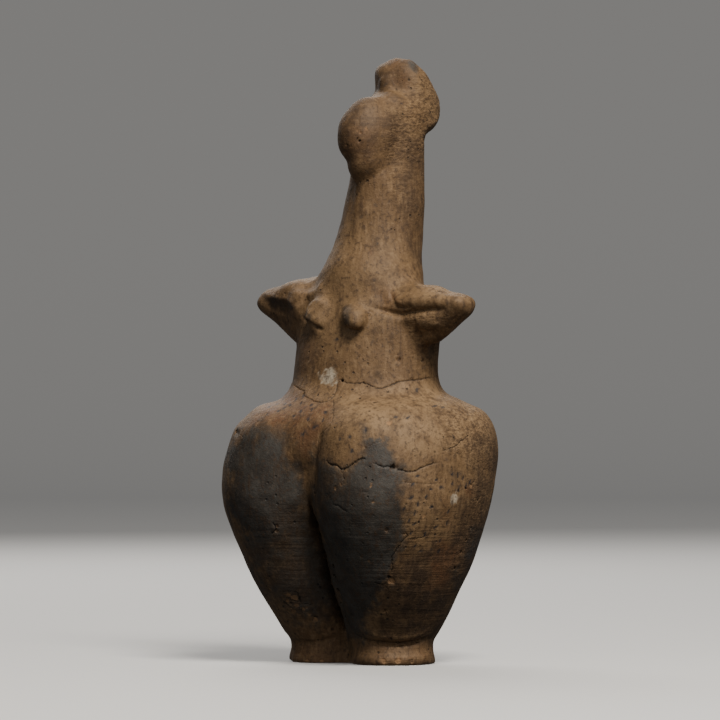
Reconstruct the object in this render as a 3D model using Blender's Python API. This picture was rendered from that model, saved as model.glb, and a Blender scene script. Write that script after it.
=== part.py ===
"""A Neolithic goddess idol in fired clay: one solid with broad paired thighs, a drawn-in waist, arm stumps,
two small breasts, a tall columnar neck, a smooth knob of a face and a raised crest of hair.

Metres, +Z up. The idol stands on its soles at z = 0 and looks along -Y, with its own left side at +X.
"""

import math

import bmesh
import bpy
from mathutils import Vector

# Overall sizes of the idol.
HEIGHT = 0.380
HIP_WIDTH = 0.172
HIP_DEPTH = 0.137
LEG_HEIGHT = 0.168
WAIST_WIDTH = 0.0965
WAIST_DEPTH = 0.0775
NECK_WIDTH = 0.0468
ARM_SPAN = 0.167
RIGHT_ARM_RISE = 0.0042
ARM_RIDGE = 0.223

# Small modelled forms.
BREAST_WIDTH = 0.016
BREAST_SPACING = 0.0285
BREAST_HEIGHT = 0.2160
FACE_WIDTH = 0.037
FACE_DEPTH = 0.044
FACE_HEIGHT = 0.052
CREST_WIDTH = 0.044

# Heights between which the hips and the shoulders are rubbed smooth.
HIP_JOIN = (0.112, 0.172)
SHOULDER_JOIN = (0.228, 0.262)

# How finely the clay is cut into faces.
RING_POINTS = 48
RING_STEP = 0.004
CLAY_GRAIN = 0.0023
MOST_TRIANGLES = 9400

# How much the arms swell towards their ridge, from front to back.
ARM_SWELL_HEIGHT = 0.6 * ARM_SPAN

# Each row of a leg: height up the leg, how far its middle stands out from the middle of the idol, its width, its
# depth, and how far its middle stands forward. The height is a share of the leg's height, the next two are shares
# of half the hip's width, and the last two are shares of half the hip's depth.
LEG_ROWS = (
    (0.000, 0.279, 0.310, 0.402, 0.010),
    (0.025, 0.277, 0.304, 0.396, 0.004),
    (0.055, 0.276, 0.297, 0.381, 0.000),
    (0.078, 0.277, 0.289, 0.372, 0.004),
    (0.094, 0.278, 0.308, 0.404, 0.010),
    (0.115, 0.286, 0.330, 0.440, 0.015),
    (0.158, 0.310, 0.354, 0.489, 0.022),
    (0.219, 0.336, 0.390, 0.568, 0.038),
    (0.279, 0.359, 0.423, 0.648, 0.058),
    (0.340, 0.380, 0.454, 0.722, 0.060),
    (0.401, 0.397, 0.476, 0.783, 0.062),
    (0.462, 0.412, 0.501, 0.841, 0.078),
    (0.523, 0.424, 0.522, 0.893, 0.086),
    (0.579, 0.434, 0.542, 0.933, 0.088),
    (0.640, 0.435, 0.559, 0.966, 0.074),
    (0.701, 0.430, 0.568, 0.988, 0.050),
    (0.762, 0.422, 0.574, 1.000, 0.020),
    (0.822, 0.408, 0.572, 0.996, -0.006),
    (0.878, 0.388, 0.560, 0.972, -0.020),
    (0.919, 0.370, 0.525, 0.905, -0.040),
    (0.949, 0.352, 0.492, 0.840, -0.066),
    (0.975, 0.335, 0.425, 0.705, -0.090),
    (0.992, 0.320, 0.320, 0.540, -0.090),
    (1.000, 0.315, 0.120, 0.200, -0.090),
)


def unit(count):
    """A length in the figure's own units, of which its height holds 380, each about a millimetre."""
    return count * HEIGHT / 380


def smooth_rows(rows, step):
    """Rows between the given ones, about a step apart in their first value, on smooth curves."""
    out = []
    count = len(rows)
    for i in range(count - 1):
        before = rows[max(i - 1, 0)]
        here = rows[i]
        there = rows[i + 1]
        after = rows[min(i + 2, count - 1)]
        gap = there[0] - here[0]
        parts = max(1, round(gap / step))
        for k in range(parts):
            t = k / parts
            row = [here[0] + t * gap]
            for a, b, c, d in zip(before[1:], here[1:], there[1:], after[1:]):
                slope_b = slope_at(before[0], a, here[0], b, there[0], c)
                slope_c = slope_at(here[0], b, there[0], c, after[0], d)
                row.append(hermite(b, c, slope_b * gap, slope_c * gap, t))
            out.append(row)
    out.append(list(rows[-1]))
    return out


def slope_at(x0, y0, x1, y1, x2, y2):
    """The slope at the middle of three points, flat where the values turn round."""
    if x1 == x0:
        return (y2 - y1) / (x2 - x1)
    if x2 == x1:
        return (y1 - y0) / (x1 - x0)
    left = (y1 - y0) / (x1 - x0)
    right = (y2 - y1) / (x2 - x1)
    if left * right <= 0:
        return 0.0
    return 2 * left * right / (left + right)


def hermite(a, b, slope_a, slope_b, t):
    """A cubic from a to b with the given end slopes."""
    u = 1 - t
    return a * u * u * (1 + 2 * t) + b * t * t * (3 - 2 * t) + slope_a * t * u * u - slope_b * t * t * u


def ring(half_width, half_front, half_back, squareness):
    """Points of a closed outline in the XY plane, rounder or squarer than an ellipse, with its own front and back."""
    points = []
    power = 2 / squareness
    for k in range(RING_POINTS):
        angle = 2 * math.pi * k / RING_POINTS
        c = math.cos(angle)
        s = math.sin(angle)
        half_depth = half_back if s > 0 else half_front
        x = half_width * math.copysign(abs(c) ** power, c)
        y = half_depth * math.copysign(abs(s) ** power, s)
        points.append((x, y))
    return points


def loft(name, rows, place, squareness=2.0):
    """A closed skin through rings. Each row is (along, across, forward, half width, half front, half back)."""
    bm = bmesh.new()
    made = bmesh.ops.create_circle(bm, cap_ends=False, segments=RING_POINTS, radius=1.0)
    verts = made["verts"]
    edges = list(bm.edges)
    loops = [verts]
    for _ in rows[1:]:
        grown = bmesh.ops.extrude_edge_only(bm, edges=edges)["geom"]
        links = {v: e.other_vert(v) for v in loops[-1] for e in v.link_edges if e.other_vert(v) in grown}
        loops.append([links[v] for v in loops[-1]])
        edges = [g for g in grown if isinstance(g, bmesh.types.BMEdge) and all(v in grown for v in g.verts)]
    for row, verts in zip(rows, loops):
        along, across, forward, half_width, half_front, half_back = row
        for v, (x, y) in zip(verts, ring(half_width, half_front, half_back, squareness)):
            v.co = place(x + across, y + forward, along)
    bm.faces.new(loops[0])
    bm.faces.new(loops[-1])
    bmesh.ops.recalc_face_normals(bm, faces=bm.faces)
    return finish_form(name, bm)


def finish_form(name, bm):
    """Makes an object of one form, still apart from the others."""
    mesh = bpy.data.meshes.new(name)
    bm.to_mesh(mesh)
    bm.free()
    obj = bpy.data.objects.new(name, mesh)
    bpy.context.scene.collection.objects.link(obj)
    return obj


def knob(name, centre, half_sizes):
    """An egg-shaped lump of clay."""
    bm = bmesh.new()
    bmesh.ops.create_icosphere(bm, subdivisions=4, radius=1.0)
    for v in bm.verts:
        v.co = Vector(centre) + Vector(a * b for a, b in zip(v.co, half_sizes))
    return finish_form(name, bm)


def upright(x, y, along):
    """Places a ring of a form that grows upwards."""
    return Vector((x, y, along))


def leg(side):
    """One leg with its foot, its full thigh and its buttock. The sole sits a little below the cut at z = 0."""
    rows = []
    for share, out, width, depth, forward in LEG_ROWS:
        half_width = width * HIP_WIDTH / 2
        half_depth = depth * HIP_DEPTH / 2
        middle = -forward * HIP_DEPTH / 2
        rows.append((share * LEG_HEIGHT, side * out * HIP_WIDTH / 2, middle, half_width, half_depth, half_depth))
    low = list(rows[0])
    low[0] = -CLAY_GRAIN * 3
    return loft(f"leg_{side}", [low] + smooth_rows(rows, RING_STEP), upright)


def web():
    """The thin seam of clay that closes the legs together, just inside the groove between them."""
    thick = 0.035 * HIP_WIDTH / 2
    deep = HIP_DEPTH / 2
    rows = (
        (-2 * CLAY_GRAIN, 0, 0, thick, 0.20 * deep, 0.20 * deep),
        (0.10 * LEG_HEIGHT, 0, 0, thick, 0.20 * deep, 0.18 * deep),
        (0.23 * LEG_HEIGHT, 0, 0, thick, 0.42 * deep, 0.30 * deep),
        (0.40 * LEG_HEIGHT, 0, 0, thick, 0.60 * deep, 0.46 * deep),
        (0.55 * LEG_HEIGHT, 0, 0, thick, 0.70 * deep, 0.56 * deep),
        (0.70 * LEG_HEIGHT, 0, 0, thick, 0.74 * deep, 0.64 * deep),
        (0.80 * LEG_HEIGHT, 0, 0, thick, 0.60 * deep, 0.60 * deep),
    )
    return loft("web", smooth_rows(rows, RING_STEP), upright)


def trunk():
    """Belly, waist, chest, neck and skull in one column."""
    hip = HIP_DEPTH / 2
    waist = WAIST_WIDTH / 2
    depth = WAIST_DEPTH / 2
    neck = NECK_WIDTH / 2
    rows = (
        (unit(92), 0, 0, 0.30 * waist, 0.42 * hip, 0.40 * hip),
        (unit(106), 0, 0, 0.50 * waist, 0.58 * hip, 0.49 * hip),
        (unit(120), 0, 0, 0.72 * waist, 0.725 * hip, 0.58 * hip),
        (unit(133), 0, 0, 0.90 * waist, 0.85 * hip, 0.66 * hip),
        (unit(144), 0, 0, 1.02 * waist, 0.905 * hip, 0.725 * hip),
        (unit(153), 0, unit(1), 1.10 * waist, 0.88 * hip, 0.735 * hip),
        (unit(160), 0, unit(2), 1.12 * waist, 0.80 * hip, 0.69 * hip),
        (unit(166.5), 0, unit(2.5), 1.10 * waist, 1.22 * depth, 1.13 * depth),
        (unit(172), 0, unit(3), 1.055 * waist, 1.10 * depth, 1.05 * depth),
        (unit(178), 0, unit(3), 1.02 * waist, 1.03 * depth, 1.01 * depth),
        (unit(187), 0, unit(3.5), 1.00 * waist, 1.00 * depth, 1.00 * depth),
        (unit(197), 0, unit(5), 1.01 * waist, 0.97 * depth, 0.98 * depth),
        (unit(207), unit(0.5), unit(7), 1.03 * waist, 0.95 * depth, 0.93 * depth),
        (unit(217), unit(0.7), unit(8.5), 0.98 * waist, 0.93 * depth, 0.89 * depth),
        (unit(227), unit(1), unit(9.5), 0.88 * waist, 0.89 * depth, 0.84 * depth),
        (unit(235.5), unit(1), unit(9), 1.64 * neck, 1.40 * neck, 1.36 * neck),
        (unit(241.5), unit(1.2), unit(8.7), 1.47 * neck, 1.35 * neck, 1.34 * neck),
        (unit(247), unit(1.5), unit(8.5), 1.36 * neck, 1.31 * neck, 1.31 * neck),
        (unit(257), unit(2), unit(12.1), 1.24 * neck, 1.24 * neck, 1.23 * neck),
        (unit(267), unit(2.3), unit(14.8), 1.165 * neck, 1.175 * neck, 1.165 * neck),
        (unit(277), unit(2.5), unit(17), 1.11 * neck, 1.13 * neck, 1.11 * neck),
        (unit(287), unit(2.8), unit(18.7), 1.08 * neck, 1.10 * neck, 1.08 * neck),
        (unit(297), unit(3), unit(20.5), 1.03 * neck, 1.05 * neck, 1.03 * neck),
        (unit(307), unit(3), unit(21.6), 1.00 * neck, 1.01 * neck, 1.00 * neck),
        (unit(320), unit(3), unit(22), 0.99 * neck, 0.99 * neck, 0.99 * neck),
        (unit(334), unit(3), unit(22.2), 0.98 * neck, 0.98 * neck, 0.98 * neck),
        (unit(345), unit(3), unit(23), 0.95 * neck, 0.95 * neck, 0.95 * neck),
        (unit(351.5), unit(3), unit(24), 0.84 * neck, 0.84 * neck, 0.84 * neck),
        (unit(356), unit(3), unit(25), 0.55 * neck, 0.55 * neck, 0.55 * neck),
    )
    return loft("trunk", smooth_rows(rows, RING_STEP), upright)


def arm(side):
    """A stump that narrows from the shoulder to a blunt tip, fuller above and sloping away below."""
    reach = ARM_SPAN / 2
    rise = RIGHT_ARM_RISE if side < 0 else 0
    rows = (
        (0.20 * reach, unit(216), unit(4.5), unit(20), unit(19), unit(22)),
        (0.40 * reach, unit(215.5) + 0.5 * rise, unit(4), unit(21.5), unit(19), unit(21)),
        (0.57 * reach, unit(216) + 0.9 * rise, unit(3), unit(23), unit(17.5), unit(20)),
        (0.65 * reach, unit(217.2) + 0.9 * rise, unit(2.5), unit(21), unit(16), unit(18)),
        (0.74 * reach, unit(218.6) + rise, unit(2.5), unit(17), unit(14), unit(15.5)),
        (0.84 * reach, unit(220.8) + rise, unit(2.5), unit(12.4), unit(12), unit(13)),
        (0.91 * reach, unit(222.3) + 0.9 * rise, unit(2.5), unit(9.6), unit(10.5), unit(11)),
        (0.97 * reach, unit(222.9) + 0.8 * rise, unit(2.5), unit(7), unit(8.5), unit(9)),
        (1.00 * reach, unit(223) + 0.8 * rise, unit(2.5), unit(4.5), unit(5.5), unit(6)),
    )

    def sideways(z, y, along):
        swell = 1 + 2 * (z - ARM_RIDGE) / ARM_SWELL_HEIGHT
        return Vector((side * along, y * swell, z))

    return loft(f"arm_{side}", smooth_rows(rows, RING_STEP), sideways)


def hair():
    """The mass of hair: an overhanging roll behind the head that rises into a broad thin crest."""
    half = CREST_WIDTH / 2
    top = HEIGHT
    rows = (
        (top - unit(52), unit(3), unit(24), 0.74 * half, unit(12), unit(14)),
        (top - unit(48.5), unit(3), unit(27), 0.90 * half, unit(13), unit(20)),
        (top - unit(45.5), unit(3), unit(29), 0.95 * half, unit(13), unit(28)),
        (top - unit(41), unit(3), unit(30.5), 0.97 * half, unit(13), unit(32.5)),
        (top - unit(36), unit(3), unit(31.5), 0.98 * half, unit(13), unit(34)),
        (top - unit(31), unit(3), unit(32), 0.98 * half, unit(13), unit(34)),
        (top - unit(26), unit(3), unit(33), 0.96 * half, unit(13), unit(32)),
        (top - unit(21), unit(3), unit(34.5), 0.92 * half, unit(12), unit(27)),
        (top - unit(16), unit(3), unit(34.5), 0.90 * half, unit(12), unit(24)),
        (top - unit(11), unit(3), unit(33.5), 0.86 * half, unit(11), unit(20.5)),
        (top - unit(6), unit(3.5), unit(33), 0.78 * half, unit(10), unit(15)),
        (top - unit(2), unit(4), unit(33), 0.54 * half, unit(7), unit(9.5)),
        (top + 0.5 * CLAY_GRAIN, unit(4), unit(33), 0.28 * half, unit(4), unit(5)),
    )
    return loft("hair", smooth_rows(rows, RING_STEP), upright, squareness=2.15)


def fuse(forms):
    """Kneads the forms into one skin of even faces, as the joints of the clay were smoothed with a wet hand."""
    bm = bmesh.new()
    for form in forms:
        bm.from_mesh(form.data)
        bpy.data.objects.remove(form)
    body = finish_form("idol", bm)
    knead = body.modifiers.new("knead", "REMESH")
    knead.mode = "VOXEL"
    knead.voxel_size = CLAY_GRAIN
    smooth = body.modifiers.new("smooth", "SMOOTH")
    smooth.factor = 0.5
    smooth.iterations = 4
    take_shape(body)
    return body


def take_shape(obj):
    """Applies an object's modifiers."""
    graph = bpy.context.evaluated_depsgraph_get()
    shaped = bpy.data.meshes.new_from_object(obj.evaluated_get(graph))
    obj.modifiers.clear()
    obj.data = shaped


def cut_soles(body):
    """Cuts the feet off flat at z = 0, so that the idol stands."""
    bm = bmesh.new()
    bm.from_mesh(body.data)
    geometry = list(bm.verts) + list(bm.edges) + list(bm.faces)
    cut = bmesh.ops.bisect_plane(
        bm, geom=geometry, dist=1e-6, plane_co=(0, 0, 0), plane_no=(0, 0, 1), clear_inner=True
    )
    rim = [e for e in cut["geom_cut"] if isinstance(e, bmesh.types.BMEdge)]
    bmesh.ops.contextual_create(bm, geom=rim)
    bmesh.ops.triangulate(bm, faces=bm.faces)
    bmesh.ops.recalc_face_normals(bm, faces=bm.faces)
    bm.to_mesh(body.data)
    bm.free()


def rub_down(body, low, high, turns):
    """Rubs the clay smooth between two heights, where forms were joined."""
    bm = bmesh.new()
    bm.from_mesh(body.data)
    band = [v for v in bm.verts if low < v.co.z < high]
    for _ in range(turns):
        bmesh.ops.smooth_vert(bm, verts=band, factor=0.5, use_axis_x=True, use_axis_y=True, use_axis_z=True)
    bm.to_mesh(body.data)
    bm.free()


def thin_faces(body):
    """Brings the skin down to a light mesh that keeps its form."""
    faces = sum(len(p.vertices) - 2 for p in body.data.polygons)
    thin = body.modifiers.new("thin", "DECIMATE")
    thin.ratio = min(1.0, MOST_TRIANGLES / faces)
    take_shape(body)


def clay():
    """Plain buff fired clay."""
    material = bpy.data.materials.new("fired_clay")
    material.use_nodes = True
    shader = material.node_tree.nodes["Principled BSDF"]
    shader.inputs["Base Color"].default_value = (0.21, 0.125, 0.062, 1.0)
    shader.inputs["Roughness"].default_value = 0.75
    shader.inputs["Metallic"].default_value = 0.0
    return material


def main():
    for obj in list(bpy.data.objects):
        bpy.data.objects.remove(obj)
    forms = [leg(1), leg(-1), web(), trunk(), arm(1), arm(-1), hair()]
    forms.append(knob("face", (unit(3), unit(2.2), unit(329)), (FACE_WIDTH / 2, FACE_DEPTH / 2, FACE_HEIGHT / 2)))
    near = (BREAST_SPACING / 2, unit(-26.5), BREAST_HEIGHT)
    far = (-BREAST_SPACING / 2, unit(-25), BREAST_HEIGHT + unit(2))
    forms.append(knob("left_breast", near, (BREAST_WIDTH / 2, unit(10), BREAST_WIDTH / 2)))
    forms.append(knob("right_breast", far, (0.6 * BREAST_WIDTH, unit(10.5), 0.68 * BREAST_WIDTH)))
    body = fuse(forms)
    rub_down(body, *HIP_JOIN, 16)
    rub_down(body, *SHOULDER_JOIN, 14)
    thin_faces(body)
    cut_soles(body)
    body.data.materials.append(clay())
    body.data.shade_smooth()
    body.data.set_sharp_from_angle(angle=math.radians(50))


main()
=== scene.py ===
"""The goddess idol as it looks: smoke-clouded buff clay, rubbed smooth by hand, cracked, chipped and rejoined.

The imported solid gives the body. Its skin is kneaded into fine clay, the folds, cracks and chips are pressed into
it where the photograph shows them, and one clay finish colours it. Everything is in metres, with +Z up.
"""

import math

import bmesh
import bpy
import numpy as np
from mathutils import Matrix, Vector, noise
from mathutils.bvhtree import BVHTree
from mathutils.kdtree import KDTree


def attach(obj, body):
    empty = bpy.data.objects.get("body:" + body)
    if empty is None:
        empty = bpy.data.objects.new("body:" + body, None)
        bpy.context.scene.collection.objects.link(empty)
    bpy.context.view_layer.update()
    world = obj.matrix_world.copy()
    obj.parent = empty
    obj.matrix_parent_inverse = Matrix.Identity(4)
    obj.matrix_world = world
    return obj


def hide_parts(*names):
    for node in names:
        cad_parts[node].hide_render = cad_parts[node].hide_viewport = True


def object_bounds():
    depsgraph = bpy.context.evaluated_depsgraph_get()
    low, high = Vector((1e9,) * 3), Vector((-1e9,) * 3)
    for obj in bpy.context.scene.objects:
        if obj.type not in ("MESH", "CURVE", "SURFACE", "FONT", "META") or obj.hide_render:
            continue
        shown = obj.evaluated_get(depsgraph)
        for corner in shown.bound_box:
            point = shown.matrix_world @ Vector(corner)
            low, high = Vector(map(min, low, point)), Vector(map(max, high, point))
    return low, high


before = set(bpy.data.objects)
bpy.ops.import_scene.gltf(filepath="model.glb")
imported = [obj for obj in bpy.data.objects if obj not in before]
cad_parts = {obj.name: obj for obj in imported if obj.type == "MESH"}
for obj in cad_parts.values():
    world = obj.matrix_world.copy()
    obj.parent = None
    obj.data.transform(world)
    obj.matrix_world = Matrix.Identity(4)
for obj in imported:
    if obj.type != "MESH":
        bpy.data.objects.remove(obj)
CAD_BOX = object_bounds()

MM = 0.001

# The photograph's camera: level, far away, and turned round the idol towards its left side.
VIEW_TURN = math.radians(38)
VIEW_DISTANCE = 3.5
VIEW_HEIGHT = 0.1894
VIEW_ASIDE = -0.00157
PHOTO_SIDE = 720
PIXELS_PER_RADIAN = 5584.7
FILM_WIDTH = 36

ACROSS = Vector((math.cos(VIEW_TURN), math.sin(VIEW_TURN), 0))
TOWARDS_CAMERA = Vector((math.sin(VIEW_TURN), -math.cos(VIEW_TURN), 0))
CAMERA_PLACE = TOWARDS_CAMERA * VIEW_DISTANCE + ACROSS * VIEW_ASIDE + Vector((0, 0, VIEW_HEIGHT))

# The paper under and behind the idol: where its flat part ends, how widely it curves up and how high it goes.
PAPER = (0.62, 0.61, 0.595, 1)
PAPER_GLOW = 0.16
PAPER_ROUGHNESS = 0.9
FLAT_END = 4.2
BEND = 1.6
WALL = 3.0
BEND_STEPS = 12
ROUND_STEPS = 72

# The lamps: name, how far towards the camera, across and up from the idol's middle, side, power and colour.
LAMPS = (
    ("key", 1.1, 0.5, 1.6, 0.75, 56, (1.0, 0.95, 0.87)),
    ("fill", 1.8, 1.0, 0.6, 1.2, 6, (1.0, 0.98, 0.95)),
    ("side", 1.6, -1.4, 0.5, 1.2, 3.5, (1.0, 0.98, 0.95)),
    ("back", -1.6, -0.4, 1.2, 1.5, 28, (1.0, 0.97, 0.93)),
)
LAMP_AIM = Vector((0, 0, 0.2))
ROOM_COLOUR = (0.9, 0.92, 0.95, 1)
ROOM_STRENGTH = 0.09

# Fineness of the clay, and how far round a crack, a fold or a rough place it is made finer.
SAME_PLACE = 1e-6
SKIN_GRAIN = 1.9 * MM
SKIN_RUBS = 9
SKIN_RUB = 0.5
FINE_REACH = 2.4 * MM
FINEST_REACH = 1.3 * MM
ROUGH_REACH = 0.4 * MM
CRISP = 2.9
CRISP_REACH = 2.2
FOLD_REACH = 2.6

# How far the noise moves from one seed to the next. A line is drawn with a point at every LINE_STEP pixels, and
# strays from side to side in slow and quick waves. They need a seed of their own to be the same in each run.
SEED_STEPS = (17.3, 5.1, 9.7)
LINE_STEP = 0.6
SLOW_WAVE = 0.35
QUICK_WAVE = 1.1
WAVE_SEED = 187
noise.seed_set(WAVE_SEED)


def ease(low, high, value):
    """A soft step from 0 at low to 1 at high, for single values and for arrays."""
    t = np.clip((value - low) / (high - low), 0, 1)
    return t * t * (3 - 2 * t)


def bell(gap, width):
    """1 where the gap is nought, fading out over about the width."""
    return np.exp(-((gap / width) ** 2))


def pairs(numbers):
    """The points of a line or the corners of a patch, whose two numbers are written in turn."""
    return list(zip(numbers[::2], numbers[1::2]))


def wander(points, size, seed=0.0, rough=3):
    """Smooth noise between about -1 and 1 at each point, with lumps about as big as size."""
    shift = Vector([seed * step for step in SEED_STEPS])
    return np.array([noise.fractal(Vector(p) / size + shift, 1.0, 2.1, rough) for p in points])


def put(name, data):
    """A new object in the scene."""
    made = bpy.data.objects.new(name, data)
    bpy.context.scene.collection.objects.link(made)
    return made


def nearest(marks):
    """Finds the nearest of some marks, each of which starts with its place."""
    near = KDTree(len(marks))
    for index, mark in enumerate(marks):
        near.insert(mark[0], index)
    near.balance()
    return near


class Skin:
    """The idol's skin: its points, the way they face, and the marks pressed into them."""

    def __init__(self, obj):
        self.obj = obj
        self.feel()

    def feel(self):
        """Reads the points and their directions again."""
        mesh = self.obj.data
        mesh.update()
        count = len(mesh.vertices)
        points = np.empty(count * 3)
        faces = np.empty(count * 3)
        mesh.vertices.foreach_get("co", points)
        mesh.vertices.foreach_get("normal", faces)
        self.points = points.reshape(-1, 3)
        self.facing = faces.reshape(-1, 3)

    def settle(self):
        """Writes the points back into the clay."""
        self.obj.data.vertices.foreach_set("co", self.points.ravel())
        self.feel()

    def press(self, depth):
        """Moves each point into the clay by its own depth."""
        self.points = self.points - self.facing * depth[:, None]
        self.settle()

    def tree(self):
        """The skin as something that lines of sight can meet."""
        faces = [tuple(p.vertices) for p in self.obj.data.polygons]
        return BVHTree.FromPolygons([Vector(p) for p in self.points], faces)

    def in_photo(self):
        """Where each point stands in the photograph, in pixels across and down."""
        offset = self.points - np.array(CAMERA_PLACE)
        ahead = -offset @ np.array(TOWARDS_CAMERA)
        across = PHOTO_SIDE / 2 + PIXELS_PER_RADIAN * (offset @ np.array(ACROSS)) / ahead
        down = PHOTO_SIDE / 2 - PIXELS_PER_RADIAN * offset[:, 2] / ahead
        return across, down

    def keep(self, name, values):
        """Stores a value for each point under a name that the finish reads."""
        layer = self.obj.data.attributes.new(name, "FLOAT", "POINT")
        layer.data.foreach_set("value", np.clip(values, 0, 1).astype(np.float32))


def sight(tree, across, down):
    """The point of the skin seen at a pixel of the photograph, or None."""
    ray = -TOWARDS_CAMERA + ACROSS * ((across - PHOTO_SIDE / 2) / PIXELS_PER_RADIAN)
    ray += Vector((0, 0, (PHOTO_SIDE / 2 - down) / PIXELS_PER_RADIAN))
    place, _, _, _ = tree.ray_cast(CAMERA_PLACE, ray.normalized())
    return place


def drawn(tree, line, jitter=0.0, seed=0.0):
    """The places on the skin under a line through pixels of the photograph, with how far along each one is."""
    places = []
    line = pairs(line)
    lengths = [math.dist(a, b) for a, b in zip(line, line[1:])]
    total = sum(lengths)
    gone = 0.0
    for (x0, y0), (x1, y1), length in zip(line, line[1:], lengths):
        steps = max(2, round(length / LINE_STEP))
        for k in range(steps):
            t = k / steps
            way = gone + t * length
            wobble = noise.noise_vector(Vector((way * SLOW_WAVE, seed * 13.7, 0.5))) * jitter
            wobble += noise.noise_vector(Vector((way * QUICK_WAVE, seed * 7.9, 4.5))) * jitter * 0.6
            place = sight(tree, x0 + t * (x1 - x0) + wobble.x, y0 + t * (y1 - y0) + wobble.y)
            if place is not None:
                places.append((place, way / total))
        gone += length
    return places


def knead(name):
    """A fine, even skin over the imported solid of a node."""
    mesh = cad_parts[name].data.copy()
    clay = put("idol_clay", mesh)
    bm = bmesh.new()
    bm.from_mesh(mesh)
    bmesh.ops.remove_doubles(bm, verts=bm.verts, dist=SAME_PLACE)
    bmesh.ops.recalc_face_normals(bm, faces=bm.faces)
    bm.to_mesh(mesh)
    bm.free()
    grain = clay.modifiers.new("grain", "REMESH")
    grain.mode = "VOXEL"
    grain.voxel_size = SKIN_GRAIN
    rub = clay.modifiers.new("rub", "SMOOTH")
    rub.factor = SKIN_RUB
    rub.iterations = SKIN_RUBS
    shaped = bpy.data.meshes.new_from_object(clay.evaluated_get(bpy.context.evaluated_depsgraph_get()))
    clay.modifiers.clear()
    clay.data = shaped
    shaped.materials.clear()
    return clay


# In these tables a line or a patch is written as pixels of the photograph, across and down in turn.
#
# Folds and swellings: a line, its half width and its depth in millimetres. A negative depth swells the clay.
FOLDS = (
    # The left arm: a rounded bar along its top, hollow under it.
    ((390, 300, 402, 301, 415, 300, 428, 299, 442, 299, 455, 300, 465, 304), 4.2, -2.0),
    ((374, 307.5, 387, 311, 396, 313.5, 402, 315, 410, 312.5, 420, 311, 432, 309.5, 444, 309), 1.6, 2.2),
    ((394, 321, 404, 319, 414, 318), 3.0, -0.9),
    ((416, 324, 430, 323, 442, 325), 5.0, -1.6),
    ((414, 336, 426, 333, 438, 331), 4.5, 0.8),
    ((422, 352, 431, 349, 438, 346), 4.5, 2.4),
    ((390, 291, 393, 299, 397, 306, 405, 308, 415, 306), 0.9, 0.8),
    ((398, 302, 402, 303.5), 1.8, -0.7),
    ((379, 290, 382, 299, 384, 307), 3.2, 1.0),
    # The right arm: a flat facet under a firm edge, and a straight upper side.
    ((264, 292, 273, 292, 282, 296, 290, 300, 297, 306), 2.0, -1.0),
    ((265, 300, 274, 303, 282, 305.5, 290, 309), 5.0, 1.9),
    ((272, 290, 284, 286, 296, 283, 308, 281), 5.0, -1.2),
    ((316, 280, 315, 290, 311, 302), 6.0, -2.6),
    # The left breast and the shadow line under it.
    ((350, 312, 353, 317), 4.6, -1.0),
    ((360, 310, 363, 317, 362, 324), 3.6, -1.3),
    ((351, 320, 355, 324.5, 361, 324), 3.4, -3.0),
    ((341.5, 318, 343, 323, 347, 328.5, 352, 331, 358, 331, 362, 329), 1.5, 2.2),
    ((368, 313, 368.5, 320, 368, 326), 0.8, 0.5),
    ((366.5, 313, 369, 311.5, 372, 312.5, 371.5, 315), 0.7, 0.7),
    # The right breast, more pointed.
    ((306, 290, 301, 300, 297, 312, 296, 325, 296, 338), 7.0, -3.6),
    ((304, 303, 303, 312, 302, 322), 4.5, -1.8),
    ((323, 300, 315, 309, 307.5, 316.5), 2.2, -1.3),
    ((323, 286, 317, 294, 312, 301), 5.0, -1.9),
    ((307, 317, 308, 318), 1.6, -1.4),
    ((304.5, 318, 309, 323.5, 316, 327, 323.3, 330), 1.3, 2.0),
    # Round the face: filled under the chin and towards the neck.
    ((356, 180, 366, 179, 378, 175, 392, 166), 9.0, -2.6),
    ((353, 168, 363, 165, 375, 160), 6.0, -1.4),
    ((352, 173, 361, 176, 371, 177), 6.0, -1.0),
    ((356, 190, 368, 189, 380, 186, 392, 180), 13.0, -2.2),
    ((352, 208, 364, 208, 382, 205, 396, 203), 15.0, -1.2),
    ((392, 104, 392, 124, 390, 144), 6.0, -0.8),
    # The crest: square at its shoulder, drawn in below it, low at its top.
    ((381, 67, 380, 73, 380, 79), 4.0, -0.8),
    ((393, 102, 390, 94, 387, 85, 385, 76), 6.5, -2.0),
    ((381, 95, 382, 86, 385, 74), 5.0, -1.2),
    ((392, 59, 400, 57, 408, 59), 4.5, 1.7),
    ((400, 72, 405, 82, 407, 90), 3.0, -0.5),
    # The lip of hair behind.
    ((438, 130, 431, 132, 427, 135, 424, 140), 1.8, 1.6),
    ((437, 119, 434, 123, 428, 125), 3.0, -1.0),
    # The groove between the legs and the hollow above it.
    ((333, 400, 325, 413, 320, 430, 317.5, 447), 3.6, 0.9),
    ((317.5, 447, 316, 466, 315.5, 488, 318, 508, 322.5, 528), 2.0, 0.8),
    ((321, 520, 326, 540, 330, 558, 333.5, 575, 337.5, 592, 342, 608, 346.5, 624), 2.8, 1.5),
    # The seam between the shin and the band of the foot, and the foot spread out below it.
    ((354, 634, 360, 638, 368, 641.5, 378, 643.5, 388, 644.5, 400, 645, 414, 643, 430, 638), 1.4, 3.4),
    ((356, 628, 369, 634, 385, 637.5, 400, 638.5, 416, 636, 428, 631), 2.4, -0.7),
    ((354, 658, 366, 659, 380, 660, 400, 660, 420, 659, 431, 657), 3.4, -1.5),
    ((290, 640, 302, 643, 314, 643, 326, 641, 337, 637), 1.5, 1.1),
    ((293, 661, 298, 662, 304, 661, 316, 659), 3.2, -1.3),
    # The rough knob at the right hip and hand dents over the thighs.
    ((235, 431, 238, 434), 1.8, 0.9),
    ((300, 500, 304, 540, 314, 580), 9.0, 0.6),
    ((352, 500, 356, 540), 8.0, 0.6),
    ((446, 470, 452, 500), 8.0, 0.5),
)

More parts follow.
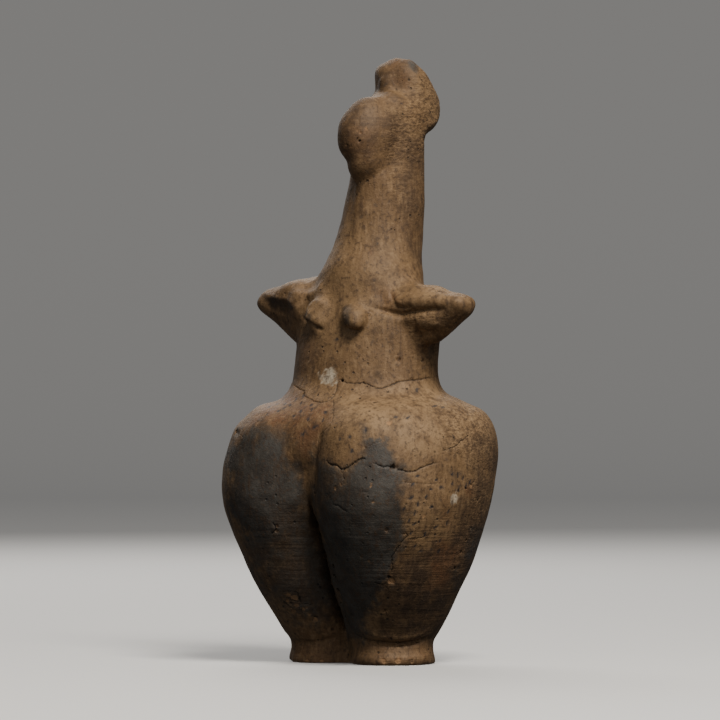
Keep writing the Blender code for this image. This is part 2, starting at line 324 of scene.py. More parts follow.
# Pulls on the clay: pixel across and down and reach in pixels, and how far sideways and up, in millimetres.
PULLS = (
    (376, 91, 8, 2.6, 0.0), (378, 80, 8, 1.8, 0.0), (385, 60, 6, 1.2, -0.6), (402, 58, 9, 0.0, -1.0),
    (392, 58, 3, 0.0, -0.8), (419, 67, 11, -2.0, -1.2), (430, 82, 11, -0.8, -1.2), (348, 105, 13, 1.0, -0.7),
    (345, 160, 8, 2.2, 0.0), (268, 291, 10, 0.0, 0.8), (284, 284, 14, 0.0, 1.8), (318, 274, 7, 0.2, 2.2),
    (428, 283, 9, -2.2, -1.4), (449, 290, 13, 0.0, -1.8), (468, 404, 13, -1.0, -1.6), (273, 398, 13, 1.4, -1.2),
    (244, 414, 16, 1.2, -0.8), (229, 440, 20, 1.0, 0.0),
)

# Dents: pixel across and down, reach and depth in millimetres, straight into the body from its front.
DENTS = (
    (316, 312, 8.0, 3.6), (310, 306, 6.0, 1.0), (386, 88, 7.5, -1.8), (300, 304, 10.0, -2.2),
    (313, 289, 8.0, 2.6), (302, 289, 7.0, -3.2),
)

# Cracks: a line, its half width and depth in millimetres, and how dark it is.
CRACKS = (
    # The break round the waist, rejoined.
    ((292.5, 383, 296, 387, 301, 390, 304, 391, 304.5, 396, 308, 398, 314, 401, 321, 402.5, 329, 400.5,
      334, 396, 336.5, 390, 337, 383, 341, 380.5), 0.42, 0.9, 0.9),
    ((341, 380.5, 347, 383, 355, 383.5, 363, 382.5, 369, 385, 376, 387.5, 382, 388, 390, 385.5, 398, 382,
      406, 380.5, 415, 380, 423, 379, 430, 377.5, 436, 377), 0.44, 0.9, 0.95),
    ((333, 399, 333.5, 407, 333, 416, 331.5, 424), 0.38, 0.6, 0.85),
    ((331.5, 424, 326, 429, 320, 435, 318, 441, 317.5, 448), 0.3, 0.5, 0.45),
    # The left thigh, high.
    ((326, 461, 330.5, 464.6, 336.7, 465.5, 342, 470, 349.3, 466.4, 356.5, 461, 361.9, 458, 365.5, 459.6), 0.5,
      1.2, 1.0),
    ((342, 470, 343.5, 480, 343, 490), 0.24, 0.3, 0.35),
    ((373, 463, 383, 467, 391, 466.5, 399.7, 470, 408.6, 472.2, 415.8, 471, 424.8, 466.4, 433.8, 463.4,
      438.5, 462.8), 0.42, 0.9, 0.95),
    ((442.8, 451, 450, 448.4, 458, 445.7, 460.8, 441.2, 469.8, 435), 0.36, 0.7, 0.8),
    ((368.2, 446.6, 374.5, 443, 379.9, 441.2), 0.3, 0.4, 0.5),
    ((401, 482, 415, 483, 428, 484, 440, 483), 0.28, 0.4, 0.45),
    # The left thigh, low.
    ((405, 531, 408, 536, 401, 543, 396, 551, 391.5, 558, 392.5, 567, 391, 575), 0.38, 0.7, 0.85),
    ((406, 539, 414, 539.5, 421, 537.5, 428, 535.5), 0.28, 0.4, 0.6),
    ((374, 582.5, 381, 584.5, 387, 583.5), 0.36, 0.7, 0.95),
    ((380, 585, 386, 587, 389, 589.5), 0.3, 0.4, 0.6),
    ((332, 504.5, 337.5, 505.5, 343.5, 510, 347, 512), 0.34, 0.6, 0.85),
    ((361, 491.6, 368, 492.4), 0.26, 0.3, 0.6),
    ((348.6, 521, 349.6, 529, 350.6, 537), 0.28, 0.35, 0.65),
    ((352, 605, 366, 609, 380, 612), 0.28, 0.35, 0.55),
    ((332, 540, 342, 545, 349, 552), 0.24, 0.3, 0.4),
    # The right leg's chip and scar.
    ((272.5, 522.5, 275.5, 527, 276, 530, 271, 534), 0.42, 0.8, 1.0),
    ((283, 592.5, 286, 591, 291, 592), 0.34, 0.5, 0.6),
    ((294, 591.5, 297.5, 593.5, 299, 597.5, 301, 603), 0.42, 0.9, 0.9),
    ((303, 604.5, 307, 604, 312, 604.8), 0.3, 0.6, 0.7),
    ((285.5, 597.5, 289.5, 598.5, 293, 601, 298, 602), 0.38, 0.8, 0.85),
    ((283, 603, 287, 604, 289, 606.5), 0.36, 0.6, 0.7),
    ((290, 606, 293, 609, 297, 611), 0.34, 0.6, 0.7),
    ((287, 609.5, 291, 613), 0.3, 0.5, 0.6),
    ((299, 607, 300, 612, 303.5, 613), 0.3, 0.5, 0.6),
)

# Chips and pits: pixel across and down, radius and depth in millimetres, how much fresh clay shows, how dark.
CHIPS = (
    (342, 380, 1.1, 1.6, 0.0, 1.0), (393, 466.3, 1.7, 1.8, 0.2, 1.0), (397, 467, 1.1, 0.9, 0.3, 0.8),
    (391.5, 581, 2.3, 1.0, 1.0, 0.0), (389.5, 577.5, 1.5, 1.4, 0.1, 1.0), (385, 611, 1.6, 1.0, 0.5, 0.6),
    (386.5, 530, 1.5, 0.8, 0.35, 0.4), (335, 488, 1.5, 0.5, 0.7, 0.0), (341, 485, 0.9, 0.4, 0.6, 0.2),
    (371, 486, 1.0, 0.4, 0.7, 0.1), (373, 502, 0.9, 0.4, 0.6, 0.0), (369, 561, 1.0, 0.4, 0.4, 0.0),
    (361, 557, 1.0, 0.4, 0.3, 0.2), (276, 531, 1.4, 0.8, 0.5, 0.2), (277, 526, 1.2, 0.7, 0.5, 0.4),
    (294, 597.5, 2.6, 0.5, 0.75, 0.0), (288.5, 594.5, 1.8, 0.4, 0.6, 0.0), (287.5, 601, 1.5, 0.5, 0.65, 0.0),
    (282.5, 598, 1.0, 0.4, 0.4, 0.3), (296.5, 605.5, 1.8, 0.6, 0.6, 0.0), (291, 603.5, 1.2, 0.7, 0.1, 0.6),
    (303, 609, 1.5, 0.5, 0.7, 0.0), (293.5, 611.5, 1.9, 0.5, 0.4, 0.1), (306.5, 607.5, 1.4, 0.3, 0.35, 0.0),
    (309.5, 614.5, 1.2, 0.4, 0.7, 0.0), (299.5, 614.5, 1.4, 0.4, 0.3, 0.2), (315.5, 619.5, 1.8, 0.6, 0.7, 0.0),
    (315, 617, 1.1, 0.8, 0.0, 0.8), (236.5, 432, 1.5, 0.9, 0.2, 0.7), (359.5, 141, 1.1, 1.0, 0.1, 0.85),
    (357, 138, 0.9, 0.7, 0.1, 0.7), (347, 145, 1.0, 0.4, 0.0, 0.5), (360, 133, 0.9, 0.4, 0.5, 0.1),
    # The first two chips here, on the face, are painted highlights drawn as flecks of fresh clay.
    (366, 128.5, 1.0, 0.2, 0.6, 0.0), (357.5, 130.5, 0.8, 0.2, 0.4, 0.0), (399, 360, 1.8, 0.9, 0.3, 0.5),
    (398, 355, 1.1, 0.6, 0.2, 0.5), (423, 361, 1.3, 0.9, 0.2, 0.7), (427, 364, 0.9, 0.6, 0.2, 0.6),
    (369.5, 315.5, 1.5, 0.5, 0.1, 0.35), (455.5, 496, 2.4, 0.3, 0.1, 0.0), (471, 486, 1.7, 0.5, 0.5, 0.0),
    (474, 482, 1.0, 0.6, 0.0, 0.8), (466, 489, 1.0, 0.6, 0.0, 0.7), (459, 491, 1.1, 0.6, 0.0, 0.85),
    (478, 500, 0.9, 0.5, 0.0, 0.7), (484, 470, 0.9, 0.5, 0.0, 0.7), (480, 514, 0.9, 0.5, 0.1, 0.6),
    (466, 540, 1.2, 0.6, 0.0, 0.75), (471, 528, 1.0, 0.5, 0.0, 0.7), (461, 552, 1.2, 0.6, 0.1, 0.8),
    (455, 568, 1.3, 0.9, 0.1, 0.9), (424, 516, 1.4, 0.3, 0.8, 0.0), (389, 423, 1.8, 0.3, 0.9, 0.0),
    (404, 534, 1.0, 0.5, 0.4, 0.5), (333.5, 566, 1.4, 1.3, 0.0, 0.9), (334.5, 576, 1.6, 1.4, 0.0, 0.9),
    (338, 590, 1.6, 1.5, 0.0, 0.9), (342, 604, 1.5, 1.4, 0.0, 0.9), (346, 618, 1.4, 1.2, 0.0, 0.9),
    (352, 615, 1.2, 0.6, 0.0, 0.7), (333, 630, 1.3, 0.7, 0.3, 0.5), (398, 661, 2.4, 0.7, 1.0, 0.0),
    (384, 661, 2.0, 0.6, 0.8, 0.0), (412, 661.5, 1.4, 0.6, 0.3, 0.4), (307, 661, 1.5, 0.5, 1.0, 0.0),
    (322, 661, 1.7, 0.5, 1.0, 0.0), (398, 642, 1.5, 0.6, 0.0, 0.5),
)

# Grains of dark temper: pixel across and down, half length in millimetres and how it leans, in degrees.
TEMPER = (
    (271, 401, 1.0, 60), (277, 404, 0.8, 50), (283, 399, 1.0, 55), (285, 404, 0.8, 45), (269, 407, 0.8, 40),
    (296, 399, 0.9, 70), (303, 396, 1.2, 80), (301, 403, 0.8, 60), (311, 405, 0.9, 50), (312, 409, 0.8, 65),
    (301, 411, 0.8, 60), (308, 419, 1.0, 75), (323, 420, 1.2, 60), (315, 427, 1.3, 30), (278, 411, 0.8, 40),
    (267, 414, 0.8, 50), (290, 405, 0.7, 60), (294, 416, 0.7, 55), (284, 408, 0.8, 30), (325, 412, 0.8, 65),
    (416.7, 390, 1.1, 85), (434.7, 406, 1.3, 20), (396, 417, 0.9, 10), (408, 417.5, 1.0, 30), (443, 407, 0.8, 10),
    (451.8, 474.5, 1.1, 80), (458, 475.4, 1.4, 85), (436, 480, 0.8, 0), (441, 487, 0.9, 0), (418, 476, 1.0, 5),
    (413, 484, 0.9, 40), (411, 498, 1.4, 15), (418, 504, 1.2, 80), (415, 513, 1.3, 75), (409, 521, 1.1, 70),
    (414.5, 524, 1.2, 40), (436, 527, 1.1, 35), (425, 534, 1.4, 80), (411, 533, 0.9, 60), (447, 523, 1.2, 85),
    (448, 512, 1.0, 70), (459, 489, 1.3, 75), (466, 486, 1.4, 80), (463, 478, 1.0, 60), (470, 482, 1.0, 70),
    (431, 507, 0.8, 30), (426, 497, 0.8, 60), (404, 509, 0.8, 40), (440, 541, 1.2, 70), (439, 551, 1.0, 60),
    (421, 551, 1.0, 20), (415, 546, 0.8, 50), (366, 430, 1.0, 88), (350, 437, 0.8, 80), (340, 439, 0.7, 70),
    (337, 339, 0.8, 20), (303, 434, 0.8, 50), (352, 451, 0.9, 70), (431, 489, 0.7, 10), (452, 484, 0.9, 80),
)

# Patches of colour, of which some also paint shade or light where marked: their corners, a strength and how soft
# the edge is in pixels. The last word tells on which side of the idol the patch lies.
SMOKE_AND_PAINTED_SHADE = (
    ((349, 464, 357, 451, 363, 440, 372, 434, 383, 438, 392, 449, 401, 464, 404, 482, 404, 505, 403, 525,
      401, 545, 397, 562, 393, 578, 382, 598, 371, 615, 366, 640, 350, 640, 335, 600, 322, 560, 316, 520,
      318, 490, 340, 484), 1.0, 11, "left"),
    ((314, 452, 340, 466, 350, 480, 345, 520, 345, 580, 358, 625, 350, 650, 325, 590, 310, 520), 0.75, 12,
      "left"),
    ((363, 424, 367, 424, 370, 444, 360, 444), 0.6, 5, "left"),
    ((226, 452, 238, 434, 256, 428, 272, 430, 284, 436, 292, 448, 300, 466, 305, 490, 310, 520, 300, 540,
      270, 545, 246, 536, 222, 495), 1.0, 18, "right"),
    ((246, 520, 310, 500, 330, 540, 345, 590, 350, 620, 296, 622, 262, 596), 0.7, 20, "right"),
    ((410, 60, 416, 61, 421, 68, 418, 73, 411, 69), 0.8, 3, "both"),
    # The end facet of the right arm, greyed: painted shade on its downward face.
    ((266, 298, 272, 295, 284, 299, 294, 307, 290, 310, 274, 308), 0.5, 4, "right"),
    ((450, 560, 486, 520, 478, 570, 446, 636, 385, 640, 385, 600, 430, 585), 0.18, 16, "left"),
    # The left side of the left breast, greyed: a grey tint together with painted shade on the side turned from the
    # lamp.
    ((342, 306, 351, 305, 351, 324, 343, 325), 0.62, 4, "both"),
    ((471, 528, 486, 522, 482, 548, 470, 562, 464, 556), 0.62, 6, "left"),
    ((450, 572, 466, 566, 464, 584, 452, 592), 0.55, 6, "left"),
    ((450, 470, 460, 470, 462, 480, 452, 480), 0.4, 4, "left"),
    # The lower tip of the right breast, darkened: painted shade under its point.
    ((304, 312, 311, 313, 312, 322, 306, 322), 0.65, 3, "both"),
)
EARTH_AND_PAINTED_LIGHT = (
    ((262, 398, 300, 392, 326, 408, 316, 440, 290, 428, 262, 416), 1.0, 5, "both"),
    ((388, 60, 406, 58, 411, 72, 408, 90, 390, 86), 0.5, 6, "both"),
    ((290, 384, 305, 396, 320, 402, 332, 402, 333, 420, 322, 432, 316, 452, 308, 462, 300, 450, 288, 434,
      264, 424, 246, 424, 254, 412, 272, 400, 284, 392), 1.0, 6, "both"),
    ((296, 448, 318, 448, 316, 520, 308, 500, 304, 470), 0.4, 14, "right"),
    ((236, 500, 300, 520, 340, 600, 300, 640, 262, 580), 0.35, 20, "right"),
    ((438, 540, 452, 545, 454, 566, 444, 584, 432, 590, 432, 566), 1.0, 7, "left"),
    ((396, 72, 406, 74, 407, 84, 399, 84), 0.7, 3, "both"),
    ((369, 250, 374, 250, 374, 255, 369, 255), 1.0, 2, "both"),
    ((349, 178, 356, 178, 356, 185, 349, 185), 0.7, 3, "both"),
    ((338, 221, 343, 221, 341, 232, 337, 232), 0.7, 3, "both"),
    ((464, 486, 474, 486, 476, 496, 466, 497), 1.0, 3, "left"),
    ((430, 558, 446, 556, 460, 546, 460, 556, 448, 572, 432, 572), 1.0, 5, "left"),
    ((444, 498, 452, 496, 452, 530, 444, 534), 0.5, 5, "left"),
    # The band of the left foot: orange clay, brightened as painted light where the band catches the lamp.
    ((352, 642, 432, 642, 432, 668, 352, 668), 0.55, 3, "left"),
    ((288, 626, 345, 626, 345, 668, 288, 668), 0.5, 8, "right"),
    ((374, 288, 396, 288, 400, 306, 380, 310), 0.4, 7, "both"),
    ((298, 336, 316, 336, 314, 372, 296, 376), 0.35, 8, "both"),
    ((338, 120, 376, 130, 374, 160, 344, 158), 0.4, 8, "both"),
    ((390, 292, 396, 292, 399, 300, 393, 301), 0.9, 2, "both"),
)
PALE_AND_PAINTED_LIGHT = (
    ((464, 459, 471, 458, 472, 466, 465, 466), 1.0, 2, "left"),
    ((446, 518, 453, 518, 453, 534, 446, 533), 0.8, 4, "left"),
    # A pale patch on the left hip that is also a painted highlight.
    ((384, 415, 400, 417, 406, 430, 398, 438, 388, 432), 1.0, 4, "both"),
    ((434, 514, 442, 513, 443, 522, 435, 523), 0.8, 3, "left"),
    ((364, 100, 374, 98, 380, 120, 370, 134), 0.4, 6, "both"),
    ((336, 402, 360, 392, 400, 388, 438, 384, 448, 400, 470, 404, 488, 414, 495, 436, 486, 452, 458, 446,
      430, 456, 408, 452, 392, 436, 366, 424, 338, 422), 1.0, 9, "both"),
    ((402, 460, 440, 452, 444, 500, 420, 520, 407, 530, 406, 490), 0.5, 9, "left"),
    ((340, 100, 370, 97, 372, 132, 345, 128), 0.2, 9, "both"),
    ((426, 284, 470, 293, 468, 302, 420, 298), 0.6, 6, "both"),
    # The band of the left foot, lightened: painted light on its upturned face.
    ((356, 646, 430, 644, 432, 662, 354, 662), 0.3, 4, "left"),
    # A painted highlight on the band of the left foot.
    ((384, 646, 408, 646, 411, 658, 386, 659), 1.0, 3, "left"),
)
BROWN_AND_PAINTED_SHADE = (
    # Low on the outer side of the left thigh: brown clay, darkened further as painted shade that deepens towards
    # its lower outer edge.
    ((428, 548, 460, 540, 476, 548, 462, 590, 440, 630, 410, 636, 412, 590), 1.0, 8, "left"),
    ((386, 60, 408, 58, 416, 72, 410, 96, 388, 92), 0.5, 7, "both"),
    # Brown clay and painted shade, low on the outer side of the left thigh.
    ((452, 536, 474, 526, 482, 540, 466, 590, 450, 582, 446, 556), 1.0, 8, "left"),
    # Brown clay and painted shade, low on the outer side of the left thigh.
    ((398, 560, 428, 552, 456, 556, 470, 570, 448, 614, 434, 634, 386, 640, 386, 604, 394, 584), 1.0, 10,
      "left"),
    ((470, 440, 496, 430, 498, 470, 486, 520, 474, 530, 470, 490), 0.7, 8, "left"),
    # Brown clay and painted shade, low on the outer side of the left thigh.
    ((464, 500, 492, 490, 480, 560, 440, 640, 420, 640, 446, 580), 0.8, 12, "left"),
    ((226, 440, 244, 420, 290, 424, 290, 440, 240, 450), 0.5, 10, "right"),
    ((374, 62, 392, 60, 394, 94, 374, 98), 0.45, 5, "both"),
    ((404, 150, 424, 140, 424, 262, 406, 262, 398, 210), 0.7, 9, "both"),
    ((384, 104, 404, 100, 408, 150, 392, 166, 384, 140), 0.5, 8, "both"),
    ((338, 110, 360, 96, 384, 104, 384, 150, 352, 164, 338, 144), 0.6, 8, "both"),
    # The end facet of the right arm, browned: painted shade on its downward face.
    ((263, 297, 272, 294, 284, 298, 296, 307, 290, 313, 272, 311), 0.9, 3, "right"),
    ((288, 340, 318, 336, 316, 372, 292, 384), 0.5, 9, "both"),
    # Under the left arm: brown clay, darkened further as painted shade where the arm overhangs the waist.
    ((416, 342, 440, 336, 446, 340, 438, 356, 426, 360, 418, 354), 0.8, 5, "both"),
)
CRUST = (
    ((402, 318, 420, 314, 462, 312, 456, 330, 440, 352, 424, 352, 410, 334), 0.8, 5, "both"),
    ((434, 412, 454, 404, 476, 408, 492, 420, 497, 445, 494, 470, 478, 478, 462, 456, 440, 446), 1.0, 8,
      "left"),
    ((470, 470, 494, 470, 484, 530, 470, 560, 460, 548, 470, 510), 0.9, 9, "left"),
    ((386, 108, 404, 96, 424, 78, 438, 100, 438, 124, 424, 136, 422, 162, 384, 160), 1.0, 6, "both"),
    ((386, 160, 422, 160, 422, 210, 396, 216), 0.6, 14, "both"),
    ((452, 540, 478, 530, 468, 566, 452, 590, 446, 566), 0.8, 8, "left"),
    ((410, 350, 436, 346, 438, 372, 412, 372), 0.6, 8, "both"),
)
PLASTER = (
    ((321, 374, 327, 370, 334, 369, 339, 374, 338, 382, 333, 387, 327, 385, 322, 380), 1.0, 4, "both"),
    ((450, 493, 457, 491, 461, 496, 459, 504, 452, 503), 0.9, 3, "left"),
    ((386, 421, 390, 419, 392, 424, 388, 427), 0.4, 2, "left"),
)


# The break runs on round the hidden back of the waist, and a few cracks and scars lie on the hidden sides. Each
# point is a turn round the idol in degrees, from its front towards its left, and a height in millimetres.
HIDDEN_CRACKS = (
    ((122, 179, 135, 178, 150, 180.5, 168, 177, 185, 176, 200, 179, 218, 178, 236, 174.5, 255, 176, 275, 178.5,
      295, 176.5, 310, 175), 0.4, 0.8, 0.85),
    ((150, 118, 158, 121, 166, 119, 173, 123, 181, 122), 0.4, 0.7, 0.8),
    ((236, 96, 241, 91, 245, 92, 251, 84, 254, 76), 0.34, 0.6, 0.7),
    ((140, 66, 147, 62, 152, 63), 0.3, 0.5, 0.7),
)
HIDDEN_CHIPS = (
    (205, 101, 3.2, 0.8, 0.7, 0.2), (209, 97, 2.0, 0.7, 0.6, 0.3), (152, 58, 2.4, 0.8, 0.7, 0.2),
    (262, 132, 1.6, 0.8, 0.4, 0.5), (282, 70, 2.2, 0.8, 0.7, 0.3), (120, 140, 1.4, 0.7, 0.3, 0.5),
    (175, 212, 1.5, 0.7, 0.4, 0.4), (228, 300, 1.4, 0.7, 0.3, 0.5), (170, 340, 1.6, 0.8, 0.4, 0.4),
)

# The unevenness of work by hand: size in millimetres, seed and depth in millimetres.
UNEVEN = ((42, 1.0, 0.6), (15, 2.0, 0.25), (5, 3.0, 0.08))

# The seam over the foot on the hidden sides: its height, depth and half width, and the swelling above it.
FOOT_SEAM = 15.2 * MM
SEAM_DEPTH = 1.1 * MM
SEAM_HALF = 1.5 * MM
SHIN_PLACE = 4 * MM
SHIN_SWELL = 0.7 * MM
SHIN_HALF = 2.6 * MM
SOLE_SPREAD = 1.2 * MM

# The strewn grains: how many, the seed of their draw, their sizes and how strong they are.
LOOSE_GRAINS = 240
LOOSE_DRAW = 41
LOOSE_SIZES = (0.35, 0.8)
LOOSE_STRENGTH = 0.55

# The grains of temper: the parts along each one, the radius in its middle and how much thinner its ends are.
GRAIN_PARTS = (-1, -0.5, 0, 0.5, 1)
GRAIN_RADIUS = 0.88
GRAIN_THINNING = 0.3
GRAIN_DEPTH = 0.16 * MM

# The cracks: how far a drawn one strays in pixels, and the low furrow round each one.
CRACK_STRAY = 0.7
FURROW_DEPTH = 0.14
FURROW_WIDTH = 3.2
DARK_WIDTH = 0.95

# The clouds of colour on the hidden sides: size in millimetres, seed, where they begin and end, and strength.
CLOUDS = {
    "smoke": (80, 21.0, -0.12, 0.45, 1.0),
    "haze": (60, 22.0, 0.05, 0.5, 0.35),
    "earth": (45, 23.0, 0.05, 0.3, 0.6),
    "pale": (40, 24.0, 0.1, 0.4, 0.5),
    "brown": (30, 25.0, 0.1, 0.4, 0.5),
    "crust": (35, 26.0, 0.15, 0.4, 0.5),
}

# The slot at the bottom of the groove between the legs.
SLOT_DEPTH = 9 * MM
SLOT_HALF = 1.7 * MM
SLOT_LOW = (16 * MM, 30 * MM)
SLOT_HIGH = (112 * MM, 90 * MM)

# The clay that fills the upper part of the groove, and the straight upper side of the right arm.
FILL_DEPTH = 6 * MM
FILL_PLACE = -3 * MM
FILL_HALF = 10 * MM
FILL_LOW = (78 * MM, 104 * MM)
FILL_HIGH = (150 * MM, 126 * MM)
ARM_PLACE = -63 * MM
ARM_HALF = 13 * MM
ARM_DROP = 3.6 * MM
ARM_TOP = (216 * MM, 234 * MM)

# Heights over which the head's ridges take over from the body's streaks, and over which ridges come in again on
# the legs, going down. The last number is how far apart the pores are.
HEAD_RISE = (0.296, 0.318)
THIGH_FALL = (0.112, 0.080)
PORE_GAP = 0.006


def span(tree, turn, height):
    """The point of the skin met from outside at a turn round the idol and a height, or None."""
    angle = math.radians(turn)
    away = Vector((math.sin(angle), -math.cos(angle), 0))
    place, _, _, _ = tree.ray_cast(away * 0.5 + Vector((0, 0, height * MM)), -away)
    return place


def shape_folds(skin):
    """Presses the folds and swellings into the skin, which is first made finer along the crisp ones."""
    tree = skin.tree()
    folds = []
    crisp = []
    for line, width, depth in FOLDS:
        drawing = drawn(tree, line)
        places = [place for place, _ in drawing]
        fades = [min(1.0, 6 * min(way, 1 - way) + 0.2) for _, way in drawing]
        folds.append((places, fades, width, depth))
        if width < CRISP:
            crisp += [(place, CRISP_REACH * width * MM) for place in places]
    refine(skin, crisp)
    depth = np.zeros(len(skin.points))
    for places, fades, width, press in folds:
        reach = FOLD_REACH * width * MM
        tip = np.array(places)
        above = np.all(skin.points > tip.min(0) - reach, axis=1)
        below = np.all(skin.points < tip.max(0) + reach, axis=1)
        near = np.nonzero(above & below)[0]
        gaps = np.linalg.norm(skin.points[near][:, None, :] - tip[None], axis=2)
        best = gaps.argmin(1)
        gap = gaps[np.arange(len(near)), best]
        depth[near] += press * MM * np.array(fades)[best] * bell(gap, width * MM)
    skin.press(depth)


def shape_pulls(skin):
    """Moves the clay sideways and up round each pulled place, front and back alike, and presses the dents."""
    across, down = skin.in_photo()
    moved = np.zeros_like(skin.points)
    for x, y, reach, aside, rise in PULLS:
        share = np.exp(-((across - x) ** 2 + (down - y) ** 2) / reach ** 2)
        moved += share[:, None] * MM * (np.array(ACROSS) * aside + np.array((0, 0, rise)))
    skin.points += moved
    tree = skin.tree()
    for x, y, reach, depth in DENTS:
        gaps = np.linalg.norm(skin.points - np.array(sight(tree, x, y)), axis=1)
        skin.points[:, 1] += depth * MM * bell(gaps, reach * MM)
    skin.settle()


def slot_of(skin):
    """How far each point lies in the ragged slot between the legs, from 0 to 1."""
    x, y, z = skin.points.T
    ragged = np.abs(wander(np.stack([0 * x, 0 * x, z], axis=1), 7 * MM, 6.0, 2))
    half = SLOT_HALF * (0.8 + 1.3 * ragged)
    return bell(x, half) * ease(*SLOT_LOW, z) * ease(*SLOT_HIGH, z) * ease(-6 * MM, -14 * MM, y)


def shape_by_hand(skin):
    """The unevenness of work by hand, the seams round the feet and the slot between the legs."""
    x, y, z = skin.points.T
    uneven = sum(wander(skin.points, size * MM, seed, 2) * share for size, seed, share in UNEVEN)
    depth = uneven * MM * ease(0, 6 * MM, z)
    hidden = ease(-0.1, 0.3, -(skin.facing @ np.array(TOWARDS_CAMERA)))
    depth += SEAM_DEPTH * bell(z - FOOT_SEAM, SEAM_HALF) * hidden
    depth -= SHIN_SWELL * bell(z - FOOT_SEAM - SHIN_PLACE, SHIN_HALF) * hidden
    depth -= SOLE_SPREAD * ease(9 * MM, 1 * MM, z) * hidden * ease(-0.8, -0.4, skin.facing[:, 2])
    skin.press(depth)
    skin.points[:, 1] += SLOT_DEPTH * slot_of(skin)
    skin.settle()
    x, y, z = skin.points.T
    filled = bell(x - FILL_PLACE, FILL_HALF) * ease(*FILL_LOW, z) * ease(*FILL_HIGH, z)
    skin.points[:, 1] -= FILL_DEPTH * filled * ease(-6 * MM, -20 * MM, y)
    skin.points[:, 2] -= ARM_DROP * bell(x - ARM_PLACE, ARM_HALF) * ease(*ARM_TOP, z)
    skin.settle()


def shape_crust(skin, crust):
    """Short rough strokes on the hair and the neck, and a pitted crust on the hip."""
    high = ease(186 * MM, 196 * MM, skin.points[:, 2])
    strokes = wander(skin.points * np.array([0.45, 0.45, 1.0]), 1.5 * MM, 4.0, 2)
    pitted = wander(skin.points, 2.6 * MM, 5.0, 2)
    relief = high * (strokes * 0.2 + 0.3 * np.maximum(strokes - 0.2, 0)) + (1 - high) * pitted * 0.26
    skin.press(relief * MM * crust)


def near_marks(tree):
    """Samples of every crack, the middle of every chip and samples of every grain of temper, on the skin."""
    cracks = []
    seed = 0
    for line, width, depth, dark in CRACKS:
        seed += 1
        for place, way in drawn(tree, line, CRACK_STRAY, seed):
            cracks.append(crack_mark(place, way, seed, width, depth, dark))
    for line, width, depth, dark in HIDDEN_CRACKS:
        seed += 1
        for place, way in wound(tree, line, seed):
            cracks.append(crack_mark(place, way, seed, width, depth, dark))
    chips = []
    for across, down, radius, depth, fresh, dark in CHIPS:
        chips.append((sight(tree, across, down), radius * MM, depth * MM, fresh, dark))
    for turn, height, radius, depth, fresh, dark in HIDDEN_CHIPS:
        chips.append((span(tree, turn, height), radius * MM, depth * MM, fresh, dark))
    grains = []
    for across, down, half, lean in TEMPER:
        for k in GRAIN_PARTS:
            reach = k * half * MM * PIXELS_PER_RADIAN / VIEW_DISTANCE
            x = across + reach * math.cos(math.radians(lean))
            y = down - reach * math.sin(math.radians(lean))
            radius = (GRAIN_RADIUS - GRAIN_THINNING * abs(k)) * MM
            grains.append((sight(tree, x, y), radius, 1.0))
    chips, grains = ([mark for mark in marks if mark[0] is not None] for marks in (chips, grains))
    return cracks, chips, grains


def crack_mark(place, way, seed, width, depth, dark):
    """One sample of a crack, which thins out at its ends and varies along its length."""
    pulse = 0.7 + 0.6 * abs(noise.noise(Vector((way * 23, seed * 3.1, 0))))
    fade = min(1.0, 9 * min(way, 1 - way) + 0.25)
    return place, width * MM * pulse * (0.5 + 0.5 * fade), depth * MM * pulse * fade, dark * fade


def wound(tree, line, seed):
    """The places on the skin under a line of turns and heights, with how far along each one is."""
    places = []
    line = pairs(line)
    for part, ((turn0, high0), (turn1, high1)) in enumerate(zip(line, line[1:])):
        count = max(4, round(1.5 * abs(turn1 - turn0)))
        for k in range(count):
            t = k / count
            wobble = noise.noise_vector(Vector(((part + t) * 2.7, seed * 4.9, 1.5)))
            turn = turn0 + t * (turn1 - turn0) + wobble.x
            place = span(tree, turn, high0 + t * (high1 - high0) + wobble.y)
            if place is not None:
                places.append((place, (part + t) / (len(line) - 1)))
    return places


def refine(skin, marks):
    """Divides the faces near the marks once more. Each mark is a place and its reach."""
    near = nearest(marks)
    bm = bmesh.new()
    bm.from_mesh(skin.obj.data)
    close = set()
    for vert in bm.verts:
        _, index, gap = near.find(vert.co)
        if gap < marks[index][1]:
            close.add(vert.index)
    edges = [e for e in bm.edges if e.verts[0].index in close and e.verts[1].index in close]
    bmesh.ops.subdivide_edges(bm, edges=edges, cuts=1, use_grid_fill=True)
    bm.to_mesh(skin.obj.data)
    bm.free()
    skin.feel()


